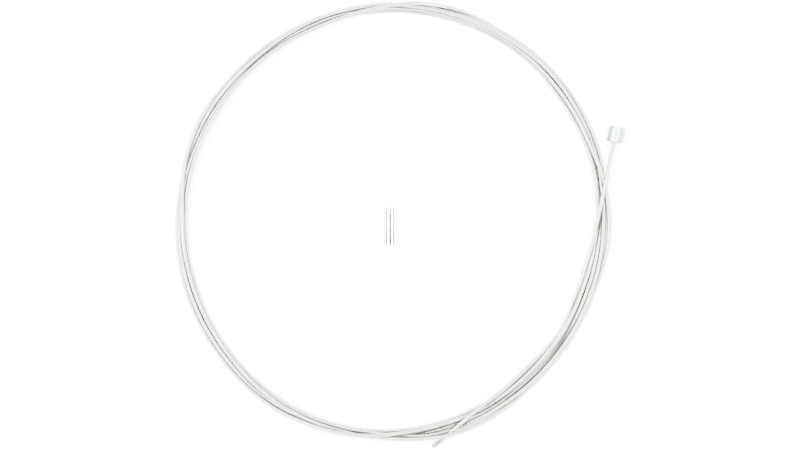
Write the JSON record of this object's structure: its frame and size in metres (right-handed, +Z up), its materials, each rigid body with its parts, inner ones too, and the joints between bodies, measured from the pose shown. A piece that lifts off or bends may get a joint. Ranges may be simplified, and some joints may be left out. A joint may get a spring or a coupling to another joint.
{
  "type": "bicycle shift cable",
  "caption": "Stranded steel inner cable for a bicycle gear shifter, wound in a round coil, with a cast cylindrical head and a loose crimp-on end cap.",
  "frame": {"origin": "middle of the box's base, on the surface that the coil lies on", "axes": "+Z up through the coil, +X to the right and +Y away, with the head at the right"},
  "size_m": [0.134, 0.1318, 0.0045],
  "materials": {
    "stranded_steel": "bright drawn stainless steel wires laid in a strand",
    "cast_zinc": "cast and plated, slightly mottled",
    "drawn_aluminium": "bright drawn aluminium"
  },
  "bodies": {
    "root": {"wire_coil": "stranded_steel", "wire_head_end": "stranded_steel", "wire_tail_end": "stranded_steel", "cable_head": "cast_zinc", "end_cap": "drawn_aluminium"}
  },
  "joints": []
}
